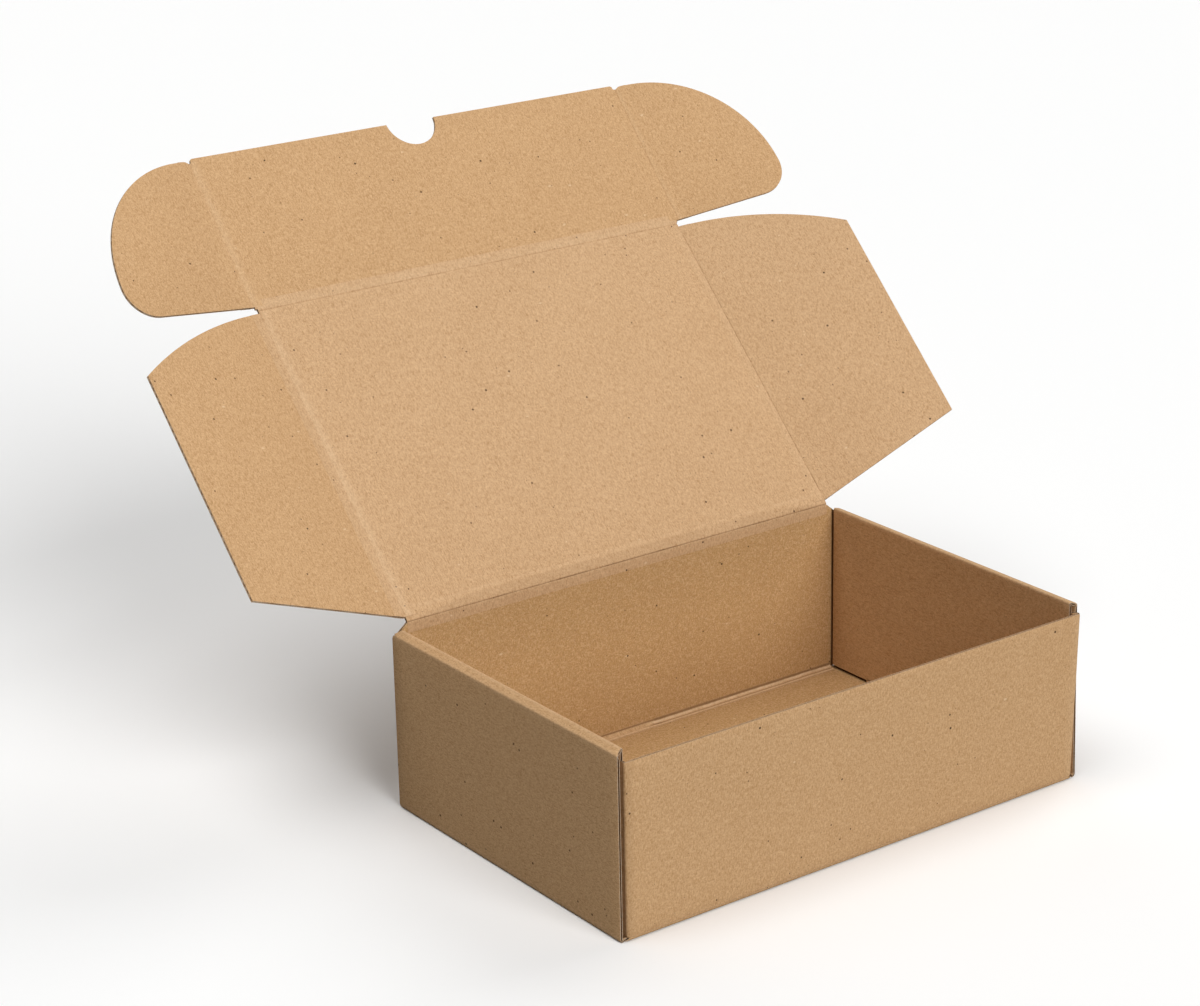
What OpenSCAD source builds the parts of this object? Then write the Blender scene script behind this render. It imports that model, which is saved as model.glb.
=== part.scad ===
// Shipping box: a one-piece die-cut mailer of thin corrugated board.
// The tray stands on the ground with its front wall towards -Y and the
// lid's crease along the top of its rear wall. The lid is laid back open.

/* [Board] */
// Thickness of the corrugated board
board_t = 1.5; // [1.2:0.1:2]
// Inside radius of a fold in the tray
fold_r = 0.3; // [0.2:0.05:0.6]
// Outside radius of the crushed folds along the rolled top of a side wall
roll_fold_r = 0.8; // [0.5:0.05:1.1]
// How much thinner the pressed crease of a flap is on each face
crease_press = 0.1; // [0.05:0.01:0.2]
// Gap left beside a crease so that the flap turns freely
crease_gap = 0.3; // [0.2:0.05:0.5]
// Gap between two layers that lie side by side in a wall
ply_gap = 0.1; // [0.05:0.05:0.4]

/* [Tray] */
// Width over the side walls
outer_w = 242; // [190:1:300]
// Depth from the front wall to the rear wall
outer_d = 157; // [130:0.5:200]
// Height of a side wall at its outer fold
side_h = 78.6; // [60:0.1:100]
// Rise of a side wall's rolled top from its outer fold to its inner fold
roll_rise = 1.8; // [1:0.1:3]
// Height of the front wall
front_h = 75.1; // [50:0.1:96]
// How far the lid's crease lies above the outer fold of the side walls
hinge_gap = 3.9; // [3.5:0.1:6]
// How far the rear wall's shoulders lie below the lid's crease
shoulder_drop = 2.9; // [2:0.1:5]
// Fall of a shoulder from the crease to the corner of the tray
shoulder_fall = 1.6; // [0.5:0.1:3]
// Set-back of a side wall's outer layer from the front and the rear
outer_setback = 1; // [0.5:0.1:2]
// Set-back of a side wall's inner layer from the front wall
inner_front_gap = 3.4; // [2.5:0.1:6]
// Set-back of a side wall's inner layer from the rear wall
inner_rear_gap = 2.8; // [2:0.1:6]

/* [Corner tabs and locks] */
// Length of the tabs that the front and rear walls push into the side walls
tab_l = 46; // [25:1:60]
// Taper of a tab towards its free end
tab_taper = 5; // [1:0.5:10]
// Width of a lock tab under the inner layer of a side wall
lock_w = 26; // [15:1:40]
// Distance between the two lock tabs of one side wall
lock_pitch = 78; // [50:1:90]
// Clearance between a lock tab and its slot
lock_gap = 0.25; // [0.15:0.05:0.5]
// Gap between the inner layer of a side wall and the base
floor_gap = 0.7; // [0.4:0.1:1.5]

/* [Lid] */
// Angle that the lid is opened from shut
lid_open = 135; // [0:1:180]
// Clearance between the shut lid's flaps and the walls beside them
slide_gap = 0.35; // [0.25:0.05:0.6]

/* [Side flaps] */
// Reach of a side flap from its crease
flap_reach = 76; // [40:1:76]
// Gap between the lid's front crease and the start of a side flap
flap_slit = 1.4; // [1.2:0.1:4]
// Lean of a side flap's front edge where it leaves the crease
flap_lean = 6.6; // [5:0.1:10]
// How far a side flap's front corner lies behind the lid's front crease
flap_nose = 29.2; // [24:0.1:40]
// How far a side flap's rear corner lies in front of the hinge
flap_tail = 18; // [10:0.1:30]
// Start of a side flap in front of the hinge
flap_root = 1.6; // [1.5:0.1:5]
// Fold of the left side flap from flat
left_flap_fold = 16; // [0:1:16]
// Fold of the right side flap from flat
right_flap_fold = 20; // [0:1:20]

/* [Tuck flap] */
// Length of the tuck flap
tuck_l = 77; // [60:0.5:79]
// Fold of the tuck flap from flat
tuck_fold = 3.2; // [0:0.1:10]
// Radius of the thumb notch
notch_r = 12.7; // [8:0.1:20]
// How far the notch's centre lies outside the free edge
notch_out = 0.5; // [0.1:0.1:4]

/* [Ears] */
// Radius of an ear's curved edge
ear_r = 60.2; // [40:0.1:68]
// Gap between the lid's front crease and the lower edge of an ear
ear_slit = 2.1; // [1.8:0.1:5]
// Step between the tuck flap's free edge and the start of an ear
ear_step = 0.9; // [0.4:0.1:4]
// How far the middle of an ear's curve lies out from its crease
ear_shift = 2.3; // [0:0.1:4]
// Radius of the ear's tip
ear_tip_r = 14; // [6:0.5:18]
// Fold of the left ear from flat
left_ear_fold = 12; // [0:1:12]
// Fold of the right ear from flat
right_ear_fold = 12; // [0:1:12]

/* [Hidden] */
$fn = 64;
kraft = "#c49a6c";
half_w = outer_w / 2;
half_d = outer_d / 2;
half_t = board_t / 2;
// Outside radius of a fold in the tray
fold_out = board_t + fold_r;
// Rolled side walls: outer layer, tab, inner layer
stack_w = 3 * board_t + 2 * ply_gap;
roll_slope = atan(roll_rise / stack_w);
outer_turn = 90 - roll_slope;
inner_turn = 90 + roll_slope;
outer_bite = roll_fold_r * tan(outer_turn / 2);
inner_bite = roll_fold_r * tan(inner_turn / 2);
outer_l = side_h - fold_out - outer_bite;
roll_l = stack_w / cos(roll_slope) - outer_bite - inner_bite;
inner_l = side_h + roll_rise - inner_bite - board_t - floor_gap;
// Half of the clear width between the side walls
room_half = half_w - stack_w;
// Where the walls end and turn into the corner tabs
tab_face = half_w - board_t - ply_gap;
wall_half = tab_face - fold_out;
tab_foot = 0.4;
// How far a panel reaches into a slanted fold, and how far it lies inside the fold's faces there
lap = 0.1;
seat = 0.02;
// Creases of the lid, its side flaps and the ears, on the board's middle plane
hinge_h = side_h + hinge_gap;
hinge_y = half_d - half_t;
shut_tuck_y = -half_d + board_t + slide_gap + half_t;
lid_l = hinge_y - shut_tuck_y;
ear_x = room_half - slide_gap - half_t;
flap_x = ear_x - board_t - slide_gap;
crease_r = half_t - crease_press;
leaf_start = half_t + crease_gap;
// Steps along the curved edges of the flaps
ARC_STEPS = 24;

// Points of an arc about a centre
function arc(centre, radius, from, to, steps = ARC_STEPS) =
    [for (i = [0 : steps]) let (a = from + (to - from) * i / steps) centre + radius * [cos(a), sin(a)]];

// Board lying from x0 to x1 along X, with its outer face on the ground
module panel(x0, x1, y0, y1) {
    translate([x0, y0, 0]) cube([x1 - x0, y1 - y0, board_t]);
}

// Board of any outline, with its middle plane on the ground
module leaf(outline) {
    translate([0, 0, -half_t]) linear_extrude(board_t) polygon(outline);
}

// Board of any outline that runs into a slanted fold
module seated() {
    translate([0, 0, seat]) linear_extrude(board_t - 2 * seat) children();
}

// A fold about Y: the board turns up by an angle
module bend(turn, y0, y1) {
    translate([0, y1, fold_out])
        rotate([90, 90, 0])
            rotate_extrude(angle = turn)
                translate([fold_r, 0]) square([board_t, y1 - y0]);
}

// Takes what follows a fold round to its new direction
module past_bend(turn) {
    translate([0, 0, fold_out]) rotate([0, -turn, 0]) translate([0, 0, -fold_out]) children();
}

// A crushed fold about Y: the outer face turns on a small radius and the inner face closes on itself
module crush(turn, y0, y1) {
    translate([0, y1, roll_fold_r])
        rotate([90, 90, 0])
            rotate_extrude(angle = turn) square([roll_fold_r, y1 - y0]);
}

// Takes what follows a crushed fold round to its new direction
module past_crush(turn) {
    translate([0, 0, roll_fold_r]) rotate([0, -turn, 0]) translate([0, 0, -roll_fold_r]) children();
}

// The pressed line of a crease, along X or Y through the board's middle plane
module crease_along_x(half) {
    rotate([0, 90, 0]) cylinder(r = crease_r, h = 2 * half, center = true);
}
module crease_along_y(y0, y1) {
    translate([0, y0, 0]) rotate([-90, 0, 0]) cylinder(r = crease_r, h = y1 - y0);
}

// Lock tab that hangs under the inner layer of a side wall
module lock_tab() {
    drop = floor_gap + board_t - lock_gap;
    root = 1;
    seated()
        polygon([[-root, -lock_w / 2], [0, -lock_w / 2], [drop, -lock_w / 2 + drop / 2],
                 [drop, lock_w / 2 - drop / 2], [0, lock_w / 2], [-root, lock_w / 2]]);
}

// One side wall: up, over the tabs and down again to the base
module side_wall() {
    front = -half_d + outer_setback;
    rear = half_d - outer_setback;
    inner_front = -half_d + inner_front_gap;
    inner_rear = half_d - inner_rear_gap;
    translate([half_w - fold_out, 0, 0]) {
        bend(90, front, rear);
        past_bend(90) {
            panel(0, outer_l, front, rear);
            translate([outer_l, 0, 0]) {
                crush(outer_turn, front, rear);
                past_crush(outer_turn) {
                    seated()
                        polygon([[-lap, front + seat], [0, front + seat],
                                 [roll_l, inner_front + seat], [roll_l + lap, inner_front + seat],
                                 [roll_l + lap, inner_rear - seat], [roll_l, inner_rear - seat],
                                 [0, rear - seat], [-lap, rear - seat]]);
                    translate([roll_l, 0, 0]) {
                        crush(inner_turn, inner_front, inner_rear);
                        past_crush(inner_turn) {
                            seated()
                                translate([-lap, inner_front + seat])
                                    square([inner_l + lap, inner_rear - inner_front - 2 * seat]);
                            for (y = [-lock_pitch / 2, lock_pitch / 2]) translate([inner_l, y, 0]) lock_tab();
                        }
                    }
                }
            }
        }
    }
}

// A tab at the end of the front or rear wall, folded into the side wall
module corner_tab(top) {
    translate([0, wall_half, 0]) rotate([0, 0, 90]) {
        bend(90, -top, -tab_foot);
        past_bend(90)
            linear_extrude(board_t)
                polygon([[0, -top], [tab_l, -top + tab_taper], [tab_l, -tab_foot - tab_taper], [0, -tab_foot]]);
    }
}

module both_corner_tabs(top) {
    corner_tab(top);
    mirror([0, 1, 0]) corner_tab(top);
}

module front_wall() {
    top = front_h - fold_out;
    translate([0, -half_d + fold_out, 0]) rotate([0, 0, -90]) {
        bend(90, -wall_half, wall_half);
        past_bend(90) {
            panel(0, top, -wall_half, wall_half);
            both_corner_tabs(top);
        }
    }
}

module rear_wall() {
    crease = hinge_h - fold_out;
    shoulder = crease - shoulder_drop;
    corner = shoulder - shoulder_fall;
    translate([0, half_d - fold_out, 0]) rotate([0, 0, 90]) {
        bend(90, -wall_half, wall_half);
        past_bend(90) {
            linear_extrude(board_t)
                polygon([[0, -wall_half], [corner, -wall_half], [shoulder, -flap_x - half_t], [crease, -flap_x],
                         [crease, flap_x], [shoulder, flap_x + half_t], [corner, wall_half], [0, wall_half]]);
            translate([crease, 0, half_t]) rotate([0, 0, 90]) crease_along_x(flap_x);
            both_corner_tabs(corner);
        }
    }
}

// Base with a slot for each lock tab
module base() {
    slot_x = room_half - lock_gap;
    slot = [board_t + 2 * lock_gap, lock_w + 2 * lock_gap, 3 * board_t];
    difference() {
        translate([-half_w + fold_out, -half_d + fold_out, 0])
            cube([outer_w - 2 * fold_out, outer_d - 2 * fold_out, board_t]);
        for (side = [0, 1], y = [-lock_pitch / 2, lock_pitch / 2])
            mirror([side, 0, 0]) translate([slot_x, y - slot[1] / 2, -board_t]) cube(slot);
    }
}

module tray() {
    color(kraft) {
        base();
        side_wall();
        mirror([1, 0, 0]) side_wall();
        front_wall();
        rear_wall();
    }
}

// Frames of the lid, the tuck flap and the parts that hang on them
module on_hinge() {
    translate([0, hinge_y, hinge_h]) rotate([-lid_open, 0, 0]) children();
}
module on_tuck_crease() {
    on_hinge() translate([0, -lid_l, 0]) rotate([tuck_fold, 0, 0]) children();
}

module lid() {
    color(kraft) on_hinge() {
        leaf([[-flap_x, -lid_l], [flap_x, -lid_l], [flap_x, -leaf_start], [-flap_x, -leaf_start]]);
        translate([0, -lid_l, 0]) crease_along_x(flap_x);
        for (x = [-flap_x, flap_x]) translate([x, 0, 0]) crease_along_y(-lid_l, -flap_root);
    }
}

// A side flap with its crease on the Y axis, reaching along +X
module side_flap() {
    drop = flap_nose - flap_slit;
    edge_r = (flap_reach * flap_reach + drop * drop) / (2 * (drop * cos(flap_lean) - flap_reach * sin(flap_lean)));
    chord = norm([flap_reach, drop]);
    start_lean = flap_lean + asin(leaf_start / edge_r);
    end_lean = flap_lean + 2 * asin(chord / (2 * edge_r));
    front = -lid_l + flap_slit;
    centre = [-edge_r * sin(flap_lean), front + edge_r * cos(flap_lean)];
    leaf(concat(arc(centre, edge_r, start_lean - 90, end_lean - 90),
                [[flap_reach, -flap_tail], [leaf_start, -flap_root]]));
}

module left_side_flap() {
    color(kraft) on_hinge() translate([-flap_x, 0, 0]) rotate([0, -left_flap_fold, 0]) mirror([1, 0, 0]) side_flap();
}
module right_side_flap() {
    color(kraft) on_hinge() translate([flap_x, 0, 0]) rotate([0, right_flap_fold, 0]) side_flap();
}

module tuck_flap() {
    color(kraft) on_tuck_crease() {
        difference() {
            leaf([[-ear_x, -tuck_l], [ear_x, -tuck_l], [ear_x, -leaf_start], [-ear_x, -leaf_start]]);
            translate([0, -tuck_l - notch_out, 0]) cylinder(r = notch_r, h = 3 * board_t, center = true);
        }
        for (x = [-ear_x, ear_x]) translate([x, 0, 0]) crease_along_y(-tuck_l + ear_step, -ear_slit);
    }
}

// An ear with its crease on the Y axis, reaching along +X
module ear() {
    top = -tuck_l + ear_step;
    middle = [ear_shift, top + ear_r];
    tip_y = -ear_slit - ear_tip_r;
    tip_x = ear_shift + sqrt(pow(ear_r - ear_tip_r, 2) - pow(middle[1] - tip_y, 2));
    meet = atan2(tip_y - middle[1], tip_x - ear_shift);
    leaf(concat([[leaf_start, -ear_slit]],
                arc([tip_x, tip_y], ear_tip_r, 90, meet),
                arc(middle, ear_r, meet, -90),
                [[leaf_start, top]]));
}

module left_ear() {
    color(kraft) on_tuck_crease() translate([-ear_x, 0, 0]) rotate([0, -left_ear_fold, 0]) mirror([1, 0, 0]) ear();
}
module right_ear() {
    color(kraft) on_tuck_crease() translate([ear_x, 0, 0]) rotate([0, right_ear_fold, 0]) ear();
}

tray();
lid();
left_side_flap();
right_side_flap();
tuck_flap();
left_ear();
right_ear();
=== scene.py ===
"""Open mailer box of thin corrugated kraft board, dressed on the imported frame.

Every panel is made as the real board is: two paper liners with a fluted sheet
between them. The flutes run across the blank, from side to side.
"""
import math
from types import SimpleNamespace

import bpy
import bmesh
from mathutils import Matrix, Vector, noise


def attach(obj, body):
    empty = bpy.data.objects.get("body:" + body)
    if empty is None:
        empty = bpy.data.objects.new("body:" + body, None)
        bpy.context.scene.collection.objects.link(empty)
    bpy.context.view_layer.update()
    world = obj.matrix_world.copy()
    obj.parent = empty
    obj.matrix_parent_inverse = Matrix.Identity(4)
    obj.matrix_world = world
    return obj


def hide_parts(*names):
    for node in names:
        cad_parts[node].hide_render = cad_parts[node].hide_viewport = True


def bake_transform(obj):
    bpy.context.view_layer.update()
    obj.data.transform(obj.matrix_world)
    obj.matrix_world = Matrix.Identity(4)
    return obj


bl_info = {
    "name": "Corrugated mailer box",
    "version": (1, 0, 0),
    "blender": (4, 5, 0),
    "location": "3D View > Sidebar > Mailer",
    "description": "Builds an open mailer box of fluted kraft board on its packed frame",
    "category": "Object",
}

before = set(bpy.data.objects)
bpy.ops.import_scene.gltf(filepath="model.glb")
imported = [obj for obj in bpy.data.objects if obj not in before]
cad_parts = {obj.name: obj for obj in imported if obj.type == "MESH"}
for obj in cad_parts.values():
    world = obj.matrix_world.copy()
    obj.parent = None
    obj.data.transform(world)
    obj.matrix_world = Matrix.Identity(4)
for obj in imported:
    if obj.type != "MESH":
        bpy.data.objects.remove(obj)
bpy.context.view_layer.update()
MM = 0.001
SIDE_SIGN = {"left": -1, "right": 1}
PAINTED_LIGHT = "fold_wear"
SLOT_LINER, SLOT_EDGE, SLOT_FLUTE = 0, 1, 2
SEEDS = {"base": 11, "side_wall": 20, "end_wall": 40, "lid": 51, "flap": 60, "tuck": 71, "ear": 80}
CAMERA_PLACE = (-0.73393, -0.91320, 0.55072)
CAMERA_TURN = (70.2716, 1.1061, -36.4195)


def length(name, description, default_mm):
    """A size in the settings, given in millimetres."""
    return bpy.props.FloatProperty(name=name, description=description, default=default_mm * MM,
                                   unit="LENGTH", subtype="DISTANCE", precision=5)


def angle(name, description, default_deg):
    """An angle in the settings, given in degrees."""
    return bpy.props.FloatProperty(name=name, description=description, default=math.radians(default_deg),
                                   unit="ROTATION", subtype="ANGLE")


def colour(name, description, default):
    """A colour in the settings."""
    return bpy.props.FloatVectorProperty(name=name, description=description, default=default, size=3,
                                         min=0.0, max=1.0, subtype="COLOR")


def strength(name, description, default):
    """The strength of a light in the settings."""
    return bpy.props.FloatProperty(name=name, description=description, default=default, min=0.0)


class MailerBoard(bpy.types.PropertyGroup):
    """The corrugated board and its colours."""
    thickness: length("Thickness", "Thickness of the board", 1.5)
    liner: length("Liner", "Thickness of each paper liner", 0.2)
    flute_sheet: length("Flute sheet", "Thickness of the fluted paper", 0.15)
    flute_pitch: length("Flute pitch", "Distance from one flute to the next", 3.3)
    edge_pinch: length("Edge pinch", "How far the die presses a liner in at a cut edge", 0.18)
    edge_inset: length("Edge inset", "Width of the pressed rim along a cut edge", 0.7)
    liner_colour: colour("Liner", "Kraft paper of the liners", (0.520, 0.315, 0.152))
    # Painted sheen: the lid, the right side flap and the lid's creases get this paler liner for the sheen of
    # the light on them.
    sheen_painted_colour: colour("Lid liner, painted sheen", "Kraft paper of the lid, paler with its sheen", (0.536, 0.343, 0.190))
    # Painted shade: the base and the rear wall, on both faces, get this deeper liner for the shade inside the
    # tray.
    inside_colour: colour("Inside liner, painted shade", "Kraft paper of the base and the rear wall", (0.445, 0.262, 0.098))
    pale_colour: colour("Pale fibre", "Lighter fibres in the paper", (0.682, 0.450, 0.255))
    deep_colour: colour("Deep fibre", "Darker fibres in the paper", (0.338, 0.180, 0.071))
    speck_colour: colour("Speck", "Dark bark specks in the paper", (0.070, 0.036, 0.017))
    # Painted highlight: this pale colour is rubbed paper along the folds and also the highlights painted on
    # creases, rolls and the crease bead.
    fold_rub_and_highlight_colour: colour("Fold", "Paper rubbed pale along the folds", (0.780, 0.580, 0.385))
    # Painted shade: this dark colour is the pressed crease lines and also the shade painted into creases,
    # corners, hidden nooks and the crease bead.
    pressed_and_shade_colour: colour("Pressed line", "Paper pressed dark by the creasing rule", (0.185, 0.098, 0.042))
    edge_colour: colour("Cut edge", "Cut edge of a liner", (0.470, 0.415, 0.345))
    # Painted shade: the fluted sheet is near black for the shade in the hollows of its flutes.
    flute_shade_colour: colour("Flute", "Fluted sheet seen in the cut edges", (0.120, 0.068, 0.034))


class MailerTray(bpy.types.PropertyGroup):
    """Sizes of the tray."""
    width: length("Width", "Width over the side walls", 242)
    depth: length("Depth", "Depth from the front wall to the rear wall", 157)
    side_height: length("Side height", "Height of a side wall at its outer fold", 78.6)
    roll_rise: length("Roll rise", "Rise of the rolled top to its inner fold", 1.8)
    front_height: length("Front height", "Height of the front wall", 75.1)
    hinge_height: length("Hinge height", "Height of the lid's crease", 82.5)
    fold_radius: length("Fold radius", "Inside radius of a fold", 0.3)
    roll_fold: length("Roll fold", "Outside radius of the rolled folds", 0.8)
    layer_gap: length("Layer gap", "Gap between layers of a side wall", 0.1)
    outer_setback: length("Outer set-back", "Side wall's outer layer from front and rear", 1.0)
    inner_front_gap: length("Front gap", "Side wall's inner layer from the front", 3.4)
    inner_rear_gap: length("Rear gap", "Side wall's inner layer from the rear", 2.8)
    shoulder_drop: length("Shoulder drop", "Rear wall's shoulders below the crease", 2.9)
    shoulder_fall: length("Shoulder fall", "Fall of a shoulder to the corner", 1.6)
    tab_length: length("Tab length", "Length of the corner tabs", 46)
    tab_taper: length("Tab taper", "Taper of a corner tab", 5)
    tab_foot: length("Tab foot", "Gap under a corner tab", 0.4)
    lock_width: length("Lock width", "Width of a lock tab", 26)
    lock_pitch: length("Lock pitch", "Distance between lock tabs", 78)
    lock_gap: length("Lock gap", "Clearance of a lock tab in its slot", 0.25)
    floor_gap: length("Floor gap", "Gap between the inner layer and the base", 0.7)


class MailerLid(bpy.types.PropertyGroup):
    """Sizes and folds of the lid and its flaps."""
    open_angle: angle("Open", "Angle of the lid from shut", 135)
    side_gap: length("Side gap", "Clearance of the shut flaps", 0.35)
    crease_half: length("Crease half", "Half of the pressed width of a crease", 1.0)
    flap_reach: length("Flap reach", "Reach of a side flap", 76)
    flap_slit: length("Flap slit", "Gap ahead of a side flap", 1.4)
    flap_lean: angle("Flap lean", "Lean of a side flap's front edge", 6.6)
    flap_nose: length("Flap nose", "Front corner behind the lid's front crease", 29.2)
    flap_tail: length("Flap tail", "Rear corner in front of the hinge", 18)
    flap_root: length("Flap root", "Start of a side flap", 1.6)
    left_flap_fold: angle("Left flap", "Fold of the left side flap", 16)
    right_flap_fold: angle("Right flap", "Fold of the right side flap", 20)
    tuck_length: length("Tuck length", "Length of the tuck flap", 77)
    tuck_fold: angle("Tuck fold", "Fold of the tuck flap", 3.2)
    notch_radius: length("Notch radius", "Radius of the thumb notch", 12.7)
    notch_out: length("Notch out", "Notch's centre outside the free edge", 0.5)
    ear_radius: length("Ear radius", "Radius of an ear's curved edge", 60.2)
    ear_shift: length("Ear shift", "Middle of the curve out from the crease", 2.3)
    ear_slit: length("Ear slit", "Gap under an ear", 2.1)
    ear_step: length("Ear step", "Step from the tuck's free edge to an ear", 1.3)
    ear_tip: length("Ear tip", "Radius of an ear's tip", 14)
    left_ear_fold: angle("Left ear", "Fold of the left ear", 12)
    right_ear_fold: angle("Right ear", "Fold of the right ear", 12)


class MailerStage(bpy.types.PropertyGroup):
    """Floor, light and camera."""
    floor_colour: colour("Floor", "Plain pale floor", (0.95, 0.95, 0.945))
    bounce_colour: colour("Floor bounce", "Light that the floor gives back to the box", (0.45, 0.45, 0.445))
    front_strength: strength("Front", "Low soft key light from the front", 2.5)
    left_strength: strength("Left", "High soft light from the left", 1.3)
    right_strength: strength("Right", "Soft light from the right", 0.85)
    back_strength: strength("Back", "Soft fill from behind", 0.4)
    sky_strength: strength("Sky", "Light from all round", 0.01)
    softness: angle("Softness", "Angle that each light covers", 40)
    camera_place: bpy.props.FloatVectorProperty(
        name="Camera", description="Place of the camera", size=3, default=CAMERA_PLACE, subtype="TRANSLATION")
    camera_turn: bpy.props.FloatVectorProperty(
        name="Camera turn", description="Turn of the camera", size=3, subtype="EULER",
        default=[math.radians(turn) for turn in CAMERA_TURN])
    lens: bpy.props.FloatProperty(name="Lens", description="Focal length in millimetres", default=91.216,
                                  unit="CAMERA")


FOLD_CRUSH = 0.86


def hinged(parent, offset, turn, axis):
    """A panel's place: its crease at an offset in its parent's place, turned about an axis."""
    return parent @ Matrix.Translation(offset) @ Matrix.Rotation(turn, 4, axis)


def plan(scene):
    """Places of the layers and creases, worked out from the settings."""
    board, tray, lid = scene.mailer_board, scene.mailer_tray, scene.mailer_lid
    p = SimpleNamespace(board=board, tray=tray, lid=lid, t=board.thickness, half_t=board.thickness / 2)
    p.crushed = p.t * FOLD_CRUSH
    p.half_w = tray.width / 2
    p.half_d = tray.depth / 2
    p.fold_out = p.t + tray.fold_radius
    p.stack = 3 * p.t + 2 * tray.layer_gap
    p.room = p.half_w - p.stack
    p.tab_face = p.half_w - p.t - tray.layer_gap
    p.wall_half = p.tab_face - p.fold_out
    p.hinge_y = p.half_d - p.half_t
    p.lid_l = p.hinge_y + p.half_d - p.t - lid.side_gap - p.half_t
    p.ear_x = p.room - lid.side_gap - p.half_t
    p.flap_x = p.ear_x - p.t - lid.side_gap
    p.lid_place = hinged(Matrix.Identity(4), (0, p.hinge_y, tray.hinge_height), -lid.open_angle, "X")
    p.tuck_place = hinged(p.lid_place, (0, -p.lid_l, 0), lid.tuck_fold, "X")
    p.flap_place, p.ear_place = {}, {}
    for side, sign in SIDE_SIGN.items():
        flap_fold = sign * getattr(lid, f"{side}_flap_fold")
        ear_fold = sign * getattr(lid, f"{side}_ear_fold")
        p.flap_place[side] = hinged(p.lid_place, (sign * p.flap_x, 0, 0), flap_fold, "Y")
        p.ear_place[side] = hinged(p.tuck_place, (sign * p.ear_x, 0, 0), ear_fold, "Y")
    return p


SHARP_ANGLE = math.radians(28)


class Draft:
    """Points and faces of one piece before it becomes a mesh."""

    def __init__(self, place=Matrix.Identity(4)):
        self.place = place
        self.points = []
        self.light_and_rub = []
        self.faces = []
        self.slots = []

    def point(self, co, light_and_rub=0.0):
        """Adds a point and gives its number."""
        self.points.append(self.place @ Vector(co))
        self.light_and_rub.append(light_and_rub)
        return len(self.points) - 1

    def face(self, ids, slot=SLOT_LINER):
        """Adds a face over numbered points."""
        self.faces.append(tuple(ids))
        self.slots.append(slot)

    def ring(self, one, two, slot=SLOT_LINER, closed=True):
        """Faces between two rows of points."""
        count = len(one)
        for i in range(count if closed else count - 1):
            j = (i + 1) % count
            self.face((one[i], one[j], two[j], two[i]), slot)

    def slab(self, rows, backs, sheet=SLOT_LINER, sides=SLOT_LINER, ends=SLOT_LINER):
        """A closed sheet between two grids of points, with the slots of its faces, sides and ends."""
        for layer in (rows, backs):
            for one, two in zip(layer, layer[1:]):
                self.ring(one, two, sheet, closed=False)
        for k in (0, -1):
            self.ring([row[k] for row in rows], [row[k] for row in backs], sides, closed=False)
            self.ring(rows[k], backs[k], ends, closed=False)

    def make(self, name, materials):
        """The finished piece, in the scene."""
        mesh = bpy.data.meshes.new(name)
        mesh.from_pydata([tuple(v) for v in self.points], [], self.faces)
        for material in materials:
            mesh.materials.append(material)
        mesh.polygons.foreach_set("material_index", self.slots)
        shells = bmesh.new()
        shells.from_mesh(mesh)
        bmesh.ops.recalc_face_normals(shells, faces=shells.faces)
        shells.to_mesh(mesh)
        shells.free()
        # Painted light and rubbing of each point: above zero pale, below zero painted shade.
        painted_and_rubbed = mesh.attributes.new(PAINTED_LIGHT, "FLOAT", "POINT")
        painted_and_rubbed.data.foreach_set("value", self.light_and_rub)
        mesh.polygons.foreach_set("use_smooth", [True] * len(mesh.polygons))
        mesh.set_sharp_from_angle(angle=SHARP_ANGLE)
        mesh.update()
        piece = bpy.data.objects.new(name, mesh)
        bpy.context.scene.collection.objects.link(piece)
        return piece


def arc(centre, radius, start, end, steps):
    """Points of an arc from one angle to another, in degrees."""
    turns = [math.radians(start + (end - start) * i / steps) for i in range(steps + 1)]
    return [(centre[0] + radius * math.cos(a), centre[1] + radius * math.sin(a)) for a in turns]


def signed_area(outline):
    """Area of an outline, above zero when it turns left."""
    pairs = zip(outline, outline[1:] + outline[:1])
    return sum(a[0] * b[1] - b[0] * a[1] for a, b in pairs) / 2


MITRE_LIMIT = 0.45


def drawn_in(outline, distance):
    """The outline moved inwards by a distance, for an outline that turns left."""
    moved = []
    count = len(outline)
    for i in range(count):
        before, here, after = (Vector(outline[(i + k) % count]) for k in (-1, 0, 1))
        one = (here - before).normalized()
        two = (after - here).normalized()
        inward = Vector((-one.y - two.y, one.x + two.x))
        half = max(MITRE_LIMIT, inward.length / 2)
        moved.append(tuple(here + inward.normalized() * distance / half))
    return moved


def crossings(outline, y):
    """Where a level line crosses the outline, from left to right."""
    found = []
    for a, b in zip(outline, outline[1:] + outline[:1]):
        if (a[1] <= y) != (b[1] <= y):
            found.append(a[0] + (b[0] - a[0]) * (y - a[1]) / (b[1] - a[1]))
    return sorted(found)


SEED_STEPS = (7.31, 1.77)


def wander(value, seed, size):
    """Smooth uneven drift along an edge, from -1 to 1."""
    return noise.noise((value / size, seed * SEED_STEPS[0], seed * SEED_STEPS[1]))


def clamped(value):
    """A value held between 0 and 1."""
    return min(1.0, max(0.0, value))


def between(one, two, share):
    """A value a share of the way from one to two."""
    return one + (two - one) * share


def hump(offset, width):
    """A smooth hump, 1 in its middle and dying away beyond its width."""
    return math.exp(-(offset / width) ** 2)


def add_liner(draft, board, outline, face_z):
    """One paper liner with its pressed rim; face_z is its outer face."""
    inwards = -1 if face_z > 0 else 1
    pinch = board.edge_pinch * inwards
    back_z = face_z + inwards * board.liner
    inner = drawn_in(outline, board.edge_inset)
    rim = [draft.point((x, y, face_z + pinch)) for x, y in outline]
    top = [draft.point((x, y, face_z)) for x, y in inner]
    back_rim = [draft.point((x, y, back_z + pinch)) for x, y in outline]
    back = [draft.point((x, y, back_z)) for x, y in inner]
    draft.face(top)
    draft.ring(rim, top)
    draft.ring(rim, back_rim, SLOT_EDGE)
    draft.ring(back_rim, back)
    draft.face(reversed(back))


FLUTE_RECESS, FLUTE_STEPS, FLUTE_PRESS = 0.06 * MM, 8, 0.7


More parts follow.
